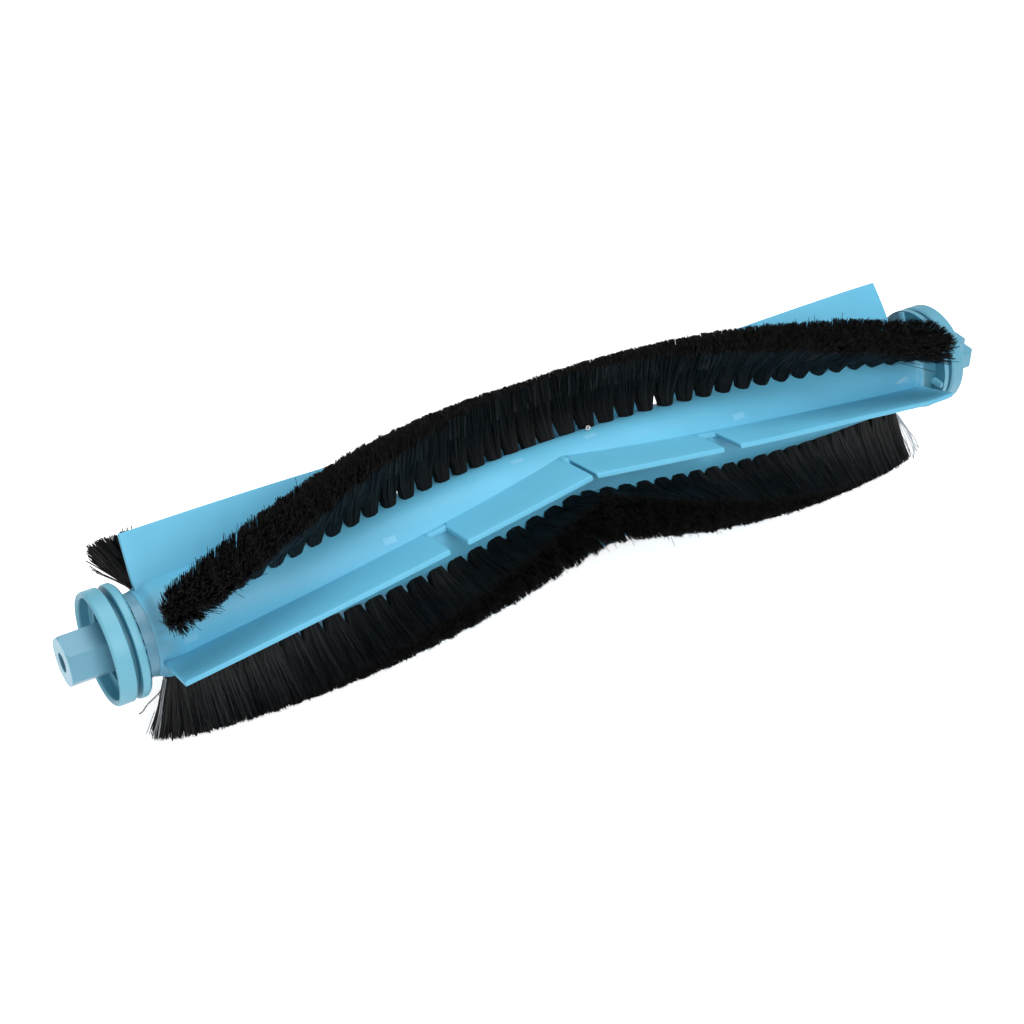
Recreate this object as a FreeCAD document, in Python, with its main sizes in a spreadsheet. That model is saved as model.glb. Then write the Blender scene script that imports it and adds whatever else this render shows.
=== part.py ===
"""Roller brush of a floor-cleaning robot: a hard spindle with a soft bladed sleeve, bristle rows and end pieces.

Frame: X runs along the axis from the drive end to the idler end, with the mouth of the drive cup at x = 0.
Y points away from the viewer and Z up. Angles turn about +X, from +Y at 0 to +Z at 90. Lengths are in mm.
"""
import FreeCAD, Part
import Sketcher
import math
import os
from FreeCAD import Placement, Rotation, Vector

os.makedirs("parts", exist_ok=True)
doc = FreeCAD.newDocument("roller_brush")

# Driving dimensions: name, value or the sum that gives it, meaning.
SIZES = [
    ("stub_length", 6.0, "hex stub beyond the mouth of the drive cup"),
    ("stub_flats", 8.2, "hex stub across flats"),
    ("stub_turn", 134.0, "angle of one corner of the hex"),
    ("stub_chamfer", 0.5, "cone on the corners at the end of the stub"),
    ("centre_hole_radius", 1.75, "hole in the end of the stub"),
    ("centre_hole_depth", 9.0, "depth of that hole"),
    ("end_radius", 10.0, "outside of the drive cup and of the idler disc"),
    ("end_edge", 0.35, "broken edges of the end pieces"),
    ("end_groove_depth", 1.8, "depth of the grooves round the end pieces"),
    ("end_groove_radius", "=end_radius - end_groove_depth", "floor of those grooves"),
    ("cup_band", 3.0, "length of the band at the mouth of the cup"),
    ("cup_groove", 1.0, "width of the groove round the cup"),
    ("cup_flange", 1.8, "thickness of the flange behind the groove"),
    ("cup_taper", 0.55, "taper at the back of the flange"),
    ("cup_wall", 1.1, "wall round the wide part of the cup's inside"),
    ("cup_bore_radius", "=end_radius - cup_wall", "wide part of the cup's inside"),
    ("cup_bore_depth", 2.2, "depth of the wide part"),
    ("cup_mouth_edge", 0.45, "broken inner edge of the mouth"),
    ("cup_well_wall", 1.2, "wall between the groove's floor and the narrow part"),
    ("cup_well_radius", "=end_groove_radius - cup_well_wall", "narrow part of the cup's inside"),
    ("cup_floor", 1.0, "thickness of the cup's floor"),
    ("stub_clearance", 0.05, "between the stub and the hole in the cup's floor"),
    ("land_radius", 7.4, "bare ends of the spindle"),
    ("drive_land", 2.2, "length of the bare end at the cup"),
    ("idler_land", 3.4, "length of the bare end at the idler cap"),
    ("core_radius", 6.4, "spindle under the sleeve"),
    ("sleeve_radius", 8.35, "outside of the sleeve"),
    ("sleeve_length", 161.6, "length of the sleeve"),
    ("sleeve_taper_length", 2.4, "taper at each end of the sleeve, along the axis"),
    ("sleeve_taper_depth", 0.85, "how far that taper comes down"),
    ("blade_count", 3, "blades, and rows of bristles between them"),
    ("blade_aim", 165.2, "direction in which the front blade stands"),
    ("blade_end_offset", 2.34, "upper face of the blade off the axis at its ends"),
    ("blade_middle_offset", -7.33, "upper face of the blade off the axis at the middle"),
    ("blade_thickness", 1.0, "thickness of a blade"),
    ("blade_tip_radius", 17.1, "reach of the blades"),
    ("blade_inset", 0.6, "from the end of the sleeve to the end of a blade"),
    ("blade_slit", 0.8, "slit through the blades at the middle"),
    ("notch_width", 3.5, "notch in each half of a blade"),
    ("notch_place", 28.55, "from the middle to the centre of a notch"),
    ("root_rib", 0.9, "height of the rib left under slit and notches"),
    ("row_end_angle", 136.0, "angle of the top row of bristles at its ends"),
    ("row_sweep", 92.0, "turn of a row from its ends to the middle"),
    ("tuft_pitch", 3.94, "spacing of the tufts along the axis"),
    ("row_margin", 1.5, "sleeve left bare beyond a row, at least"),
    ("tuft_hole_width", 2.2, "width of a four-sided tuft hole"),
    ("tuft_clearance", 0.03, "between a tuft and its hole"),
    ("tuft_gap", 0.05, "between neighbouring tufts, half of it"),
    ("tuft_merge_radius", 12.5, "where neighbouring tufts meet"),
    ("tuft_merge_width", 1.9, "half width of a tuft there, across the row"),
    ("tuft_tip_radius", 20.2, "reach of the bristles"),
    ("tuft_tip_width", 3.0, "half width of a tuft at its tip, across the row"),
    ("pad_length", 2.5, "moulding pad of the spindle, along the axis"),
    ("pad_width", 1.2, "moulding pad, across"),
    ("pad_clearance", 0.05, "between a pad and its window in the sleeve"),
    ("pad_rise", 0.04, "pad face above the outside of the sleeve"),
    ("outer_pad_inset", 5.65, "outer pads, from the end of the sleeve"),
    ("outer_pad_angle", 162.4, "outer pads, angle"),
    ("mid_pad_place", 36.9, "pads half way out, from the middle"),
    ("mid_pad_angle", 133.2, "pads half way out, angle"),
    ("inner_pad_place", 7.75, "inner pads, from the middle"),
    ("inner_pad_angle", 87.4, "inner pads, angle"),
    ("plug_radius", 3.0, "plug of the idler cap in the spindle"),
    ("plug_length", 12.0, "length of the plug"),
    ("plug_clearance", 0.05, "round the plug"),
    ("plug_relief", 0.5, "space beyond the end of the plug"),
    ("idler_flange", 1.0, "thickness of the idler flange"),
    ("idler_groove", 1.1, "width of the groove round the idler cap"),
    ("idler_disc", 3.0, "thickness of the idler disc"),
    ("tongue_height", 6.1, "tongue beyond the idler disc"),
    ("tongue_half_length", 6.2, "half the tongue's length across the disc"),
    ("tongue_thickness", 3.2, "thickness of the tongue"),
    ("tongue_edge", 1.1, "broken corners of the tongue"),
    ("tongue_turn", 180.0, "angle of the tongue"),
    ("shoulder_height", 1.8, "block at the foot of the tongue, beyond the disc"),
    ("shoulder_half_length", 7.0, "half the block's length, along the tongue"),
    ("shoulder_width", 12.8, "width of the block, across the tongue"),
    ("gusset_depth", 1.2, "gusset on the idler flange, along the axis"),
    ("gusset_inset", 0.2, "from the rim of the idler flange to the outer end of a gusset"),
    ("gusset_reach", "=end_radius - gusset_inset", "outer end of a gusset, from the axis"),
    ("gusset_thickness", 1.0, "thickness of a gusset"),
    ("gusset_turn", 184.0, "angle of the front gusset"),
    ("gusset_clearance", 0.05, "between the gussets and the spindle"),
]

sheet = doc.addObject("Spreadsheet::Sheet", "Sizes")
for line, (name, size, meaning) in enumerate(SIZES, start=1):
    sheet.set(f"A{line}", name)
    sheet.set(f"B{line}", str(size))
    sheet.set(f"C{line}", meaning)
    sheet.setAlias(f"B{line}", name)
doc.recompute()


def size(name):
    """Return the expression of one driving dimension."""
    return f"Sizes.{name}"


def number(expression):
    """Return the value of an expression of driving dimensions."""
    return float(sheet.evalExpression(str(expression)))


def total(*names):
    """Return the expression of a sum of driving dimensions."""
    return "(" + " + ".join(size(name) for name in names) + ")"


# Stations along the axis, each from the pieces that come before it.
CUP_FLANGE_START = total("cup_band", "cup_groove")
CUP_END = total("cup_band", "cup_groove", "cup_flange")
SLEEVE_START = f"({CUP_END} + {size('drive_land')})"
SLEEVE_END = f"({SLEEVE_START} + {size('sleeve_length')})"
MIDDLE = f"({SLEEVE_START} + {size('sleeve_length')} / 2)"
CORE_END = f"({SLEEVE_END} + {size('idler_land')})"
IDLER_GROOVE_START = f"({CORE_END} + {size('idler_flange')})"
DISC_START = f"({IDLER_GROOVE_START} + {size('idler_groove')})"
DISC_END = f"({DISC_START} + {size('idler_disc')})"
TONGUE_END = f"({DISC_END} + {size('tongue_height')})"
BLADE_START = f"({SLEEVE_START} + {size('blade_inset')})"
BLADE_END = f"({SLEEVE_END} - {size('blade_inset')})"
HEX_RADIUS = f"({size('stub_flats')} / 2 / cos(30 deg))"
# Cuts that run out into the open end this far beyond the piece.
RUN_OUT = total("end_radius", "end_radius")


def add_body(name):
    """Return a new, empty body."""
    return doc.addObject("PartDesign::Body", name)


def add_sketch(body, role, name, turn=None, offset=None):
    """Return a sketch on one of a body's own origin planes.

    turn tips the plane about the axis of the roller and offset moves it along its normal.
    """
    sketch = body.newObject("Sketcher::SketchObject", name)
    plane = next(item for item in body.Origin.OriginFeatures if item.Role == role)
    sketch.AttachmentSupport = [(plane, "")]
    sketch.MapMode = "FlatFace"
    if turn is not None:
        sketch.AttachmentOffset = Placement(Vector(), Rotation(Vector(1, 0, 0), number(turn)))
        sketch.setExpression("AttachmentOffset.Rotation.Angle", turn)
    if offset is not None:
        sketch.setExpression("AttachmentOffset.Base.z", offset)
    return sketch


def draw_outline(sketch, points):
    """Add a closed outline of straight lines, each corner bound to a pair of expressions."""
    corners = [Vector(number(across), number(along), 0) for across, along in points]
    first = sketch.GeometryCount
    for index, corner in enumerate(corners):
        sketch.addGeometry(Part.LineSegment(corner, corners[(index + 1) % len(corners)]))
    for index, (across, along) in enumerate(points):
        line = first + index
        follower = first + (index + 1) % len(points)
        sketch.addConstraint(Sketcher.Constraint("Coincident", line, 2, follower, 1))
        for kind, expression, value in (
            ("DistanceX", across, corners[index].x),
            ("DistanceY", along, corners[index].y),
        ):
            place = sketch.addConstraint(Sketcher.Constraint(kind, -1, 1, line, 1, value))
            sketch.setExpression(f"Constraints[{place}]", str(expression))


def box_outline(low_across, high_across, low_along, high_along):
    """Return the corners of a rectangle."""
    return [
        (low_across, low_along),
        (high_across, low_along),
        (high_across, high_along),
        (low_across, high_along),
    ]


def hex_outline(radius):
    """Return the corners of the drive hexagon at a corner radius."""
    corners = []
    for corner in range(6):
        angle = f"(({size('stub_turn')} + {60 * corner}) * 1 deg)"
        corners.append((f"{radius} * cos({angle})", f"{radius} * sin({angle})"))
    return corners


def revolve(body, sketch, kind, name):
    """Turn a sketch once round the axis of the roller, adding or cutting."""
    feature = body.newObject(f"PartDesign::{kind}", name)
    feature.Profile = sketch
    feature.ReferenceAxis = (sketch, ["H_Axis"])
    feature.Angle = 360
    sketch.Visibility = False
    return feature


def extrude(body, sketch, kind, name, length, midplane=False):
    """Extrude a sketch along its normal, adding or cutting."""
    feature = body.newObject(f"PartDesign::{kind}", name)
    feature.Profile = sketch
    feature.setExpression("Length", length)
    if midplane:
        feature.SideType = "Symmetric"
    sketch.Visibility = False
    return feature


def repeat_round(body, feature, name):
    """Repeat a feature round the axis, once for each blade."""
    pattern = body.newObject("PartDesign::PolarPattern", name)
    axis = next(item for item in body.Origin.OriginFeatures if item.Role == "X_Axis")
    pattern.Originals = [feature]
    pattern.Axis = (axis, [""])
    pattern.Angle = 360
    pattern.setExpression("Occurrences", size("blade_count"))
    body.Tip = pattern
    return pattern


def coded(name, shape):
    """Add a shape that a loop has worked out from the driving dimensions."""
    feature = doc.addObject("Part::Feature", name)
    feature.Shape = shape
    return feature


def about_axis(shape, along, angle):
    """Return a copy of a shape that points along +Y, moved along the axis and turned about it."""
    copy = shape.copy()
    copy.Placement = Placement(Vector(along, 0, 0), Rotation(Vector(1, 0, 0), angle))
    return copy


def solid_of(faces):
    """Return the solid bounded by a list of corner lists."""
    shell = Part.makeShell([Part.Face(Part.makePolygon(face + face[:1])) for face in faces])
    solid = Part.makeSolid(shell)
    if solid.Volume < 0:
        solid.reverse()
    return solid


def corner_ring(half_length, half_width, height):
    """Return the four corners of a rectangle at a height along +Y."""
    return [
        Vector(half_length, height, -half_width),
        Vector(half_length, height, half_width),
        Vector(-half_length, height, half_width),
        Vector(-half_length, height, -half_width),
    ]


def tuft_hole():
    """Return the prism of one tuft hole, which goes right through the wall of the sleeve."""
    bottom = number(f"{size('core_radius')} - {size('tuft_hole_width')}")
    half = number(f"{size('tuft_hole_width')} / 2")
    ring = corner_ring(half, half, bottom)
    face = Part.Face(Part.makePolygon(ring + ring[:1]))
    return face.extrude(Vector(0, number(size("end_radius")) - bottom, 0))


def tuft():
    """Return one tuft along +Y: a four-sided root on the spindle that flares into a wedge with a ridged tip."""
    root = number(f"{size('tuft_hole_width')} / 2 - {size('tuft_clearance')}")
    half_length = number(f"{size('tuft_pitch')} / 2 - {size('tuft_gap')}")
    tip_radius = number(size("tuft_tip_radius"))
    tip_width = number(size("tuft_tip_width"))
    rings = [
        corner_ring(root, root, number(size("core_radius"))),
        corner_ring(root, root, number(size("sleeve_radius"))),
        corner_ring(half_length, number(size("tuft_merge_width")), number(size("tuft_merge_radius"))),
        corner_ring(half_length, tip_width, math.sqrt(tip_radius**2 - tip_width**2)),
    ]
    ridge = [Vector(half_length, tip_radius, 0), Vector(-half_length, tip_radius, 0)]
    faces = [rings[0][::-1]]
    for low, high in zip(rings, rings[1:]):
        for near in range(4):
            far = (near + 1) % 4
            if high is rings[-1] and near in (0, 2):
                faces.append([low[near], low[far], high[far], ridge[near // 2], high[near]])
            else:
                faces.append([low[near], low[far], high[far], high[near]])
    tip = rings[-1]
    faces.append([tip[1], tip[2], ridge[1], ridge[0]])
    faces.append([tip[3], tip[0], ridge[0], ridge[1]])
    return solid_of(faces)


def tuft_places():
    """Return the place along the axis and the angle of each tuft of the top row."""
    middle = number(MIDDLE)
    reach = number(f"({BLADE_END} - {BLADE_START}) / 2")
    tufts_per_half = int(number(f"({size('sleeve_length')} / 2 - {size('row_margin')}) / {size('tuft_pitch')}"))
    places = []
    for side in (-1, 1):
        for step in range(tufts_per_half):
            distance = (step + 0.5) * number(size("tuft_pitch"))
            turn = number(size("row_sweep")) * (1 - distance / reach)
            places.append((middle + side * distance, number(size("row_end_angle")) - turn))
    return places


def row_turns():
    """Return the turn of each row, blade and set of pads from the first one."""
    count = int(number(size("blade_count")))
    return [360 / count * index for index in range(count)]


def all_round(shape, places):
    """Return a shape at every place, repeated once for each blade."""
    copies = []
    for turn in row_turns():
        copies.extend(about_axis(shape, along, angle + turn) for along, angle in places)
    return Part.makeCompound(copies)


def pad_places():
    """Return the place along the axis and the angle of the pads beside the front blade."""
    distances = {
        "outer": f"{size('sleeve_length')} / 2 - {size('outer_pad_inset')}",
        "mid": size("mid_pad_place"),
        "inner": size("inner_pad_place"),
    }
    places = []
    for name, distance in distances.items():
        for side in (-1, 1):
            along = number(MIDDLE) + side * number(distance)
            places.append((along, number(size(f"{name}_pad_angle"))))
    return places


def pad_block(low, high, margin):
    """Return a block along +Y between two radii, wider all round by a margin."""
    length = number(size("pad_length")) + 2 * margin
    width = number(size("pad_width")) + 2 * margin
    return Part.makeBox(length, high - low, width, Vector(-length / 2, low, -width / 2))


def make_spindle():
    """Build the hard spindle: hex stub, two bare ends, seat of the sleeve and moulding pads."""
    body = add_body("spindle_body")
    profile = add_sketch(body, "XY_Plane", "spindle_profile")
    bore = total("plug_radius", "plug_clearance")
    bore_start = f"{CORE_END} - {total('plug_length', 'plug_relief')}"
    draw_outline(profile, [
        (CUP_END, "0"),
        (CUP_END, size("land_radius")),
        (SLEEVE_START, size("land_radius")),
        (SLEEVE_START, size("core_radius")),
        (SLEEVE_END, size("core_radius")),
        (SLEEVE_END, size("land_radius")),
        (CORE_END, size("land_radius")),
        (CORE_END, bore),
        (bore_start, bore),
        (bore_start, "0"),
    ])
    revolve(body, profile, "Revolution", "spindle_turned")
    stub = add_sketch(body, "YZ_Plane", "stub_section", offset=f"-{size('stub_length')}")
    draw_outline(stub, hex_outline(HEX_RADIUS))
    extrude(body, stub, "Pad", "stub", f"{size('stub_length')} + {SLEEVE_START}")
    ends = add_sketch(body, "XY_Plane", "stub_end_cuts")
    end = f"-{size('stub_length')}"
    hole_end = f"{size('centre_hole_depth')} - {size('stub_length')}"
    draw_outline(ends, box_outline(end, hole_end, "0", size("centre_hole_radius")))
    draw_outline(ends, [
        (end, f"{HEX_RADIUS} - {size('stub_chamfer')}"),
        (f"{end} + 2 * {size('stub_chamfer')}", f"{HEX_RADIUS} + {size('stub_chamfer')}"),
        (end, f"{HEX_RADIUS} + {size('stub_chamfer')}"),
    ])
    revolve(body, ends, "Groove", "stub_end")
    root = number(f"{size('core_radius')} - {size('pad_width')}")
    face = number(total("sleeve_radius", "pad_rise"))
    pads = coded("spindle_pads", all_round(pad_block(root, face, 0), pad_places()))
    spindle = doc.addObject("Part::MultiFuse", "spindle_core")
    spindle.Shapes = [body, pads]
    return spindle


def make_sleeve():
    """Build the soft sleeve: tube, three chevron blades with slit and notches, holes and windows."""
    body = add_body("sleeve_body")
    plan = add_sketch(body, "XY_Plane", "blade_plan", turn=f"{size('blade_aim')} - 90")
    ends = f"-{size('blade_end_offset')}"
    middle = f"-{size('blade_middle_offset')}"
    thickness = size("blade_thickness")
    draw_outline(plan, [
        (BLADE_START, ends),
        (BLADE_START, f"{ends} - {thickness}"),
        (MIDDLE, f"{middle} - {thickness}"),
        (BLADE_END, f"{ends} - {thickness}"),
        (BLADE_END, ends),
        (MIDDLE, middle),
    ])
    blade = extrude(body, plan, "Pad", "blade", total("blade_tip_radius", "blade_thickness"))
    repeat_round(body, blade, "blades")
    tube = add_sketch(body, "XY_Plane", "tube_profile")
    taper = size("sleeve_taper_length")
    end_radius = f"{size('sleeve_radius')} - {size('sleeve_taper_depth')}"
    draw_outline(tube, [
        (SLEEVE_START, "0"),
        (SLEEVE_START, end_radius),
        (f"{SLEEVE_START} + {taper}", size("sleeve_radius")),
        (f"{SLEEVE_END} - {taper}", size("sleeve_radius")),
        (SLEEVE_END, end_radius),
        (SLEEVE_END, "0"),
    ])
    revolve(body, tube, "Revolution", "tube")
    cuts = add_sketch(body, "XY_Plane", "sleeve_cuts")
    tip = size("blade_tip_radius")
    rib = total("sleeve_radius", "root_rib")
    clear = f"{tip} + {RUN_OUT}"
    notch = f"{size('notch_width')} / 2"
    slit = f"{size('blade_slit')} / 2"
    left = f"{MIDDLE} - {size('notch_place')}"
    right = f"{MIDDLE} + {size('notch_place')}"
    draw_outline(cuts, box_outline("0", CORE_END, "0", size("core_radius")))
    outer = [("0", tip)]
    for place, half in ((left, notch), (MIDDLE, slit), (right, notch)):
        outer.append((f"{place} - {half}", tip))
        outer.append((f"{place} - {half}", rib))
        outer.append((f"{place} + {half}", rib))
        outer.append((f"{place} + {half}", tip))
    outer.append((CORE_END, tip))
    outer.append((CORE_END, clear))
    outer.append(("0", clear))
    draw_outline(cuts, outer)
    trimmed = revolve(body, cuts, "Groove", "bore_tips_and_notches")
    # Refining would merge the separate rib tops in the slit into one unsound ring.
    trimmed.Refine = False
    block = pad_block(
        number(f"{size('core_radius')} - {size('pad_width')}"),
        number(size("end_radius")),
        number(size("pad_clearance")),
    )
    holes = coded("tuft_holes", all_round(tuft_hole(), tuft_places()))
    windows = coded("pad_windows", all_round(block, pad_places()))
    openings = doc.addObject("Part::MultiFuse", "sleeve_openings")
    openings.Shapes = [holes, windows]
    sleeve = doc.addObject("Part::Cut", "blade_sleeve")
    sleeve.Base = body
    sleeve.Tool = openings
    return sleeve


def make_rows():
    """Build the bristle rows, each a group of separate tufts."""
    one = tuft()
    rows = []
    for index, turn in enumerate(row_turns(), start=1):
        copies = [about_axis(one, along, angle + turn) for along, angle in tuft_places()]
        rows.append(coded(f"bristle_row_{index}", Part.makeCompound(copies)))
    return rows


def make_cup():
    """Build the drive end cup: stepped inside, grooved outside, hex hole for the stub."""
    body = add_body("drive_end_cup")
    profile = add_sketch(body, "XY_Plane", "cup_profile")
    rim = size("end_radius")
    edge = size("end_edge")
    groove = size("end_groove_radius")
    mouth = size("cup_mouth_edge")
    floor = f"{CUP_END} - {size('cup_floor')}"
    draw_outline(profile, [
        (mouth, size("cup_bore_radius")),
        ("0", total("cup_bore_radius", "cup_mouth_edge")),
        ("0", f"{rim} - {edge}"),
        (edge, rim),
        (size("cup_band"), rim),
        (size("cup_band"), groove),
        (CUP_FLANGE_START, groove),
        (CUP_FLANGE_START, rim),
        (f"{CUP_END} - {size('cup_taper')}", rim),
        (CUP_END, f"{rim} - {size('cup_taper')}"),
        (CUP_END, "0"),
        (floor, "0"),
        (floor, size("cup_well_radius")),
        (size("cup_bore_depth"), size("cup_well_radius")),
        (size("cup_bore_depth"), size("cup_bore_radius")),
    ])
    revolve(body, profile, "Revolution", "cup_turned")
    section = add_sketch(body, "YZ_Plane", "cup_hex", offset=CUP_END)
    draw_outline(section, hex_outline(f"({HEX_RADIUS} + {size('stub_clearance')} / cos(30 deg))"))
    extrude(body, section, "Pocket", "cup_hex_hole", CUP_END)
    return body


def make_cap():
    """Build the idler end cap: plug, flange, groove, disc, gussets and tongue on a shoulder."""
    body = add_body("idler_end_cap")
    profile = add_sketch(body, "XY_Plane", "cap_profile")
    rim = size("end_radius")
    edge = size("end_edge")
    groove = size("end_groove_radius")
    plug = size("plug_radius")
    draw_outline(profile, [
        (f"{CORE_END} - {size('plug_length')}", "0"),
        (f"{CORE_END} - {size('plug_length')}", plug),
        (CORE_END, plug),
        (CORE_END, rim),
        (IDLER_GROOVE_START, rim),
        (IDLER_GROOVE_START, groove),
        (DISC_START, groove),
        (DISC_START, f"{rim} - {edge}"),
        (f"{DISC_START} + {edge}", rim),
        (f"{DISC_END} - {edge}", rim),
        (DISC_END, f"{rim} - {edge}"),
        (DISC_END, "0"),
    ])
    revolve(body, profile, "Revolution", "cap_turned")
    gusset_plan = add_sketch(body, "XY_Plane", "gusset_side", turn=size("gusset_turn"))
    foot = total("land_radius", "gusset_clearance")
    draw_outline(gusset_plan, [
        (f"{CORE_END} - {size('gusset_depth')}", foot),
        (f"{CORE_END} - {size('gusset_depth')} / 2", size("gusset_reach")),
        (f"{CORE_END} + {size('idler_flange')} / 2", size("gusset_reach")),
        (f"{CORE_END} + {size('idler_flange')} / 2", foot),
    ])
    gusset = extrude(body, gusset_plan, "Pad", "gusset", size("gusset_thickness"), midplane=True)
    repeat_round(body, gusset, "gussets")
    side = add_sketch(body, "XY_Plane", "tongue_side", turn=size("tongue_turn"))
    half = size("tongue_half_length")
    corner = size("tongue_edge")
    base = f"{DISC_END} - {size('idler_disc')} / 2"
    draw_outline(side, [
        (base, f"-{half}"),
        (base, half),
        (f"{TONGUE_END} - {corner}", half),
        (TONGUE_END, f"{half} - {corner}"),
        (TONGUE_END, f"{corner} - {half}"),
        (f"{TONGUE_END} - {corner}", f"-{half}"),
    ])
    extrude(body, side, "Pad", "tongue", size("tongue_thickness"), midplane=True)
    foot_side = add_sketch(body, "XY_Plane", "shoulder_side", turn=size("tongue_turn"))
    reach = size("shoulder_half_length")
    draw_outline(foot_side, box_outline(base, f"{DISC_END} + {size('shoulder_height')}", f"-{reach}", reach))
    extrude(body, foot_side, "Pad", "shoulder", size("shoulder_width"), midplane=True)
    return body


def check(feature):
    """Stop if a feature has failed or its shape is not sound."""
    if "Invalid" in feature.State or "Error" in feature.State:
        raise RuntimeError(f"{feature.Name} is in state {feature.State}")
    if hasattr(feature, "Shape") and (feature.Shape.isNull() or not feature.Shape.isValid()):
        raise RuntimeError(f"{feature.Name} has no sound shape")


def main():
    """Build every piece, check it and write it out."""
    pieces = [make_spindle(), make_sleeve(), *make_rows(), make_cup(), make_cap()]
    doc.recompute()
    for feature in doc.Objects:
        if feature.isDerivedFrom("Part::Feature"):
            check(feature)
    for piece in pieces:
        piece.Shape.exportStep(f"parts/{piece.Name}.step")
        print(piece.Name, len(piece.Shape.Solids), "solids", round(piece.Shape.Volume, 2), "mm3")


main()
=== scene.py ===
"""Looks of the roller brush: soft bladed sleeve, dense bristle rows, moulded end pieces, stray filaments and light.

Lengths in this script are in millimetres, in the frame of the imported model, and become metres where a mesh is made.
Angles turn about +X, from +Y at 0 to +Z at 90 degrees.
"""
import logging
import math
from dataclasses import dataclass
from enum import Enum
from typing import Iterable, Sequence

import bpy
import numpy as np
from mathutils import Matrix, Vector


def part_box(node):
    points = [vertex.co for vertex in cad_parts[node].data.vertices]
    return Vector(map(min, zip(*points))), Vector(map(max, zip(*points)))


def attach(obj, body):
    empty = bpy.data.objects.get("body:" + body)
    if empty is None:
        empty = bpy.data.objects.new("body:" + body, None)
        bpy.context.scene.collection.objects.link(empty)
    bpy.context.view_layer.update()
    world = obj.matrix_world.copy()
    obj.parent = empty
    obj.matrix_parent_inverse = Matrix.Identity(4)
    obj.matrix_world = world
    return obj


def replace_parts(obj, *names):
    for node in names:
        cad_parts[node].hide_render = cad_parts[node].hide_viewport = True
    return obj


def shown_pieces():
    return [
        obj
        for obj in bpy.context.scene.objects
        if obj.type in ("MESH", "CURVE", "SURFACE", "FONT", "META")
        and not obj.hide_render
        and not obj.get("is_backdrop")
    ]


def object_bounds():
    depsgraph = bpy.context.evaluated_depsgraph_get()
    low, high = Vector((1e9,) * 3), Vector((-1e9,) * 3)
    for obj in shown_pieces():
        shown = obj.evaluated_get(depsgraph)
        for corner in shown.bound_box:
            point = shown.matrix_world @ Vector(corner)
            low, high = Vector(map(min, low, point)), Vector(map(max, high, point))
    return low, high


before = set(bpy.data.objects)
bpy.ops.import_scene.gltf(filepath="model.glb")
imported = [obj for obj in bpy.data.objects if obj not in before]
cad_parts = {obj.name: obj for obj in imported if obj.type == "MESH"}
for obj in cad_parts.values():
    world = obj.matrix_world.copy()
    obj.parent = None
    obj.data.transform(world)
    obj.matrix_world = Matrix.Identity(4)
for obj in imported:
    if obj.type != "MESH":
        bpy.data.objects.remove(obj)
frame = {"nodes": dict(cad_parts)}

LOG = logging.getLogger("roller_brush")
MM = 0.001
ROOT_BODY = "root"
SEED = 20
STRAND = "strand"
MIX_FACTOR, MIX_LOW, MIX_HIGH, MIX_COLOUR = 0, 6, 7, 2  # sockets of a Mix node that is set to colours

Point = tuple[float, float]
Colour = tuple[float, float, float]


class Socket:
    """An output of a shader node that takes part in arithmetic."""

    def __init__(self, graph: "Graph", output: "bpy.types.NodeSocket | None") -> None:
        """Keep an output and the tree that it belongs to."""
        self.graph = graph
        self.output = output

    def _math(self, operation: str, *operands: object) -> "Socket":
        """Return the result of one Math node.

        Args:
            operation: Name of the Math node's operation.
            operands: Sockets or plain numbers, in the node's order.

        Returns:
            The node's output.
        """
        inputs = dict(enumerate(operands))
        return self.graph.node("ShaderNodeMath", {"operation": operation}, inputs)

    def __add__(self, other: object) -> "Socket":
        """Return this value plus another."""
        return self._math("ADD", self, other)

    def __radd__(self, other: object) -> "Socket":
        """Return another value plus this one."""
        return self._math("ADD", other, self)

    def __sub__(self, other: object) -> "Socket":
        """Return this value less another."""
        return self._math("SUBTRACT", self, other)

    def __rsub__(self, other: object) -> "Socket":
        """Return another value less this one."""
        return self._math("SUBTRACT", other, self)

    def __mul__(self, other: object) -> "Socket":
        """Return this value times another."""
        return self._math("MULTIPLY", self, other)

    def __rmul__(self, other: object) -> "Socket":
        """Return another value times this one."""
        return self._math("MULTIPLY", other, self)

    def __pow__(self, other: object) -> "Socket":
        """Return this value to a power."""
        return self._math("POWER", self, other)

    def __rpow__(self, other: object) -> "Socket":
        """Return another value to the power of this one."""
        return self._math("POWER", other, self)

    def above(self, low: float, high: float) -> "Socket":
        """Return a smooth step from 0 at low to 1 at high.

        Args:
            low: Value up to which the step is 0.
            high: Value from which it is 1.

        Returns:
            The step.
        """
        settings = {"interpolation_type": "SMOOTHSTEP"}
        inputs = {"Value": self, "From Min": low, "From Max": high}
        return self.graph.node("ShaderNodeMapRange", settings, inputs)


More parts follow.
